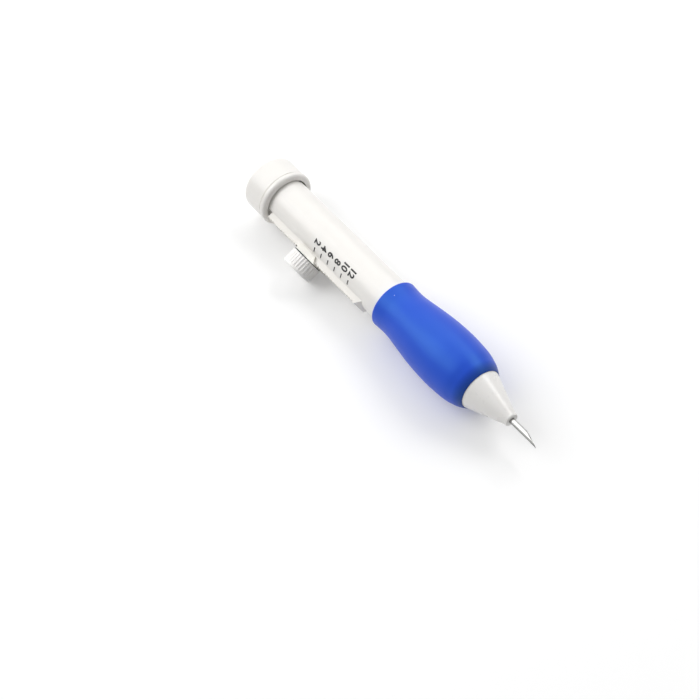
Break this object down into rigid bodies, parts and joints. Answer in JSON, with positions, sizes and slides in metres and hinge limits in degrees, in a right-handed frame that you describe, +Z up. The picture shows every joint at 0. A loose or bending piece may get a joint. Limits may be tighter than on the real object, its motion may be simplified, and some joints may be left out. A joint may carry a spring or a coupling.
{
  "type": "adjustable punch needle pen",
  "caption": "Adjustable punch needle pen: hollow barrel with toothed depth rail and fluted clamp knob, soft swelling grip, push-fit nose cone and hollow bevelled needle.",
  "frame": {"origin": "centre of the thread hole's mouth in the flat rear face of the end cap", "axes": "+X along the pen's axis towards the needle's point, +Z up with the pen lying on its side, the depth knob towards -Y and hanging 19.5 degrees below the level"},
  "size_m": [0.1246, 0.0233, 0.0188],
  "materials": {
    "white_plastic": "glossy moulded, faintly warm white",
    "warm_white_plastic": "satin moulded, warm white",
    "cream_plastic": "satin moulded cream",
    "saddle_plastic": "satin moulded cream",
    "hub_plastic": "glossy moulded white",
    "blue_rubber": "matt soft-touch royal blue",
    "dark_rubber": "matt black",
    "brass": "turned",
    "screw_steel": "plain",
    "needle_steel": "polished",
    "scale_ink": "printed ink"
  },
  "bodies": {
    "barrel": {"barrel": "white_plastic", "toothed_rail": "cream_plastic", "grip_sleeve": "blue_rubber", "scale_mark_02": "scale_ink", "scale_mark_04": "scale_ink", "scale_mark_06": "scale_ink", "scale_mark_08": "scale_ink", "scale_mark_10": "scale_ink", "scale_mark_12": "scale_ink"},
    "end_cap": {"end_cap": "white_plastic"},
    "nose_cone": {"nose_cone": "warm_white_plastic"},
    "carriage": {"needle_carrier": "white_plastic", "carrier_nut": "brass", "needle_hub": "hub_plastic", "needle_tube": "needle_steel"},
    "saddle": {"depth_saddle": "saddle_plastic", "saddle_washer": "dark_rubber"},
    "knob": {"thumb_knob": "white_plastic", "thumb_screw": "screw_steel"}
  },
  "joints": [
    {"name": "depth_slide", "type": "slide", "parent": "barrel", "child": "carriage", "axis": [1, 0, 0], "range_m": [-0.0048, 0.0144]},
    {"name": "clamp_lift", "type": "slide", "parent": "carriage", "child": "saddle", "axis": [0, -0.9426, -0.3338], "range_m": [0, 0.0009]},
    {"name": "knob_turn", "type": "hinge", "parent": "saddle", "child": "knob", "pos_m": [0.0299, -0.00782, -0.00277], "axis": [0, -0.9426, -0.3338], "range_deg": [0, 720]},
    {"name": "cap_pull", "type": "slide", "parent": "barrel", "child": "end_cap", "axis": [-1, 0, 0], "range_m": [0, 0.012]},
    {"name": "cone_pull", "type": "slide", "parent": "barrel", "child": "nose_cone", "axis": [1, 0, 0], "range_m": [0, 0.034]}
  ],
  "couplings": [
    {"joint": "knob_turn", "follows": "clamp_lift", "rad_per_m": 13963}
  ]
}
